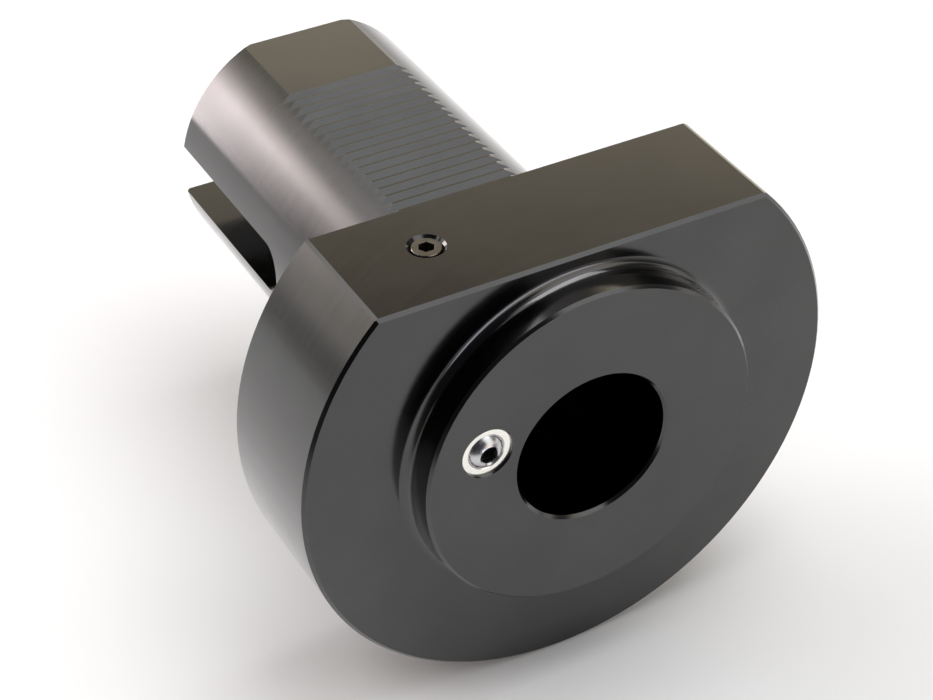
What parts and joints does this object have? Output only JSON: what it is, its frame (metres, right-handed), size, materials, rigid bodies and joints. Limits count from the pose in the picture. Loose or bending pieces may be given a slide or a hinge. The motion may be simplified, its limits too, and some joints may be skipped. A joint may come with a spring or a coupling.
{
  "type": "morse taper adapter holder",
  "caption": "Flanged tool holder with a toothed straight shank, a deep tapered socket for taper-shank tools and a swivelling coolant nozzle in its raised boss.",
  "frame": {"origin": "centre of the seating face at the back of the flange, on the spindle axis", "axes": "+Y along the shank away from the tool, +Z to the alignment flat, +X to the right as seen from the tool's side"},
  "size_m": [0.158, 0.1741, 0.134],
  "materials": {
    "blacked_steel": "hardened and blacked, ground to a satin sheen",
    "bright_nickel": "bright nickel",
    "polished_steel": "polished",
    "blacked_screw": "blacked screw steel",
    "seal_rubber": "matt black nitrile"
  },
  "bodies": {
    "holder": {"holder_body": "blacked_steel", "nozzle_sleeve": "bright_nickel", "shank_seal_ring": "seal_rubber", "inlet_seal_ring": "seal_rubber"},
    "nozzle_swivel": {"nozzle_seal_ring": "seal_rubber"},
    "jet_ball": {"nozzle_ball": "polished_steel"},
    "plug_carriage": {"plug_seal_ring": "seal_rubber"},
    "plug": {"plug_screw": "blacked_screw"}
  },
  "joints": [
    {"name": "nozzle_spin", "type": "hinge", "parent": "holder", "child": "nozzle_swivel", "pos_m": [-0.0315, -0.0448, 0.0106], "axis": [0, 1, 0], "continuous": true},
    {"name": "nozzle_tilt", "type": "hinge", "parent": "nozzle_swivel", "child": "jet_ball", "pos_m": [-0.0315, -0.0448, 0.0106], "axis": [1, 0, 0], "range_deg": [0, 20]},
    {"name": "plug_rise", "type": "slide", "parent": "holder", "child": "plug_carriage", "axis": [0, 0, 1], "range_m": [0, 0.007]},
    {"name": "plug_turn", "type": "hinge", "parent": "plug_carriage", "child": "plug", "pos_m": [-0.0315, -0.017, 0.05], "axis": [0, 0, 1], "range_deg": [0, 2520]}
  ],
  "couplings": [
    {"joint": "plug_turn", "follows": "plug_rise", "rad_per_m": 6283.2}
  ]
}
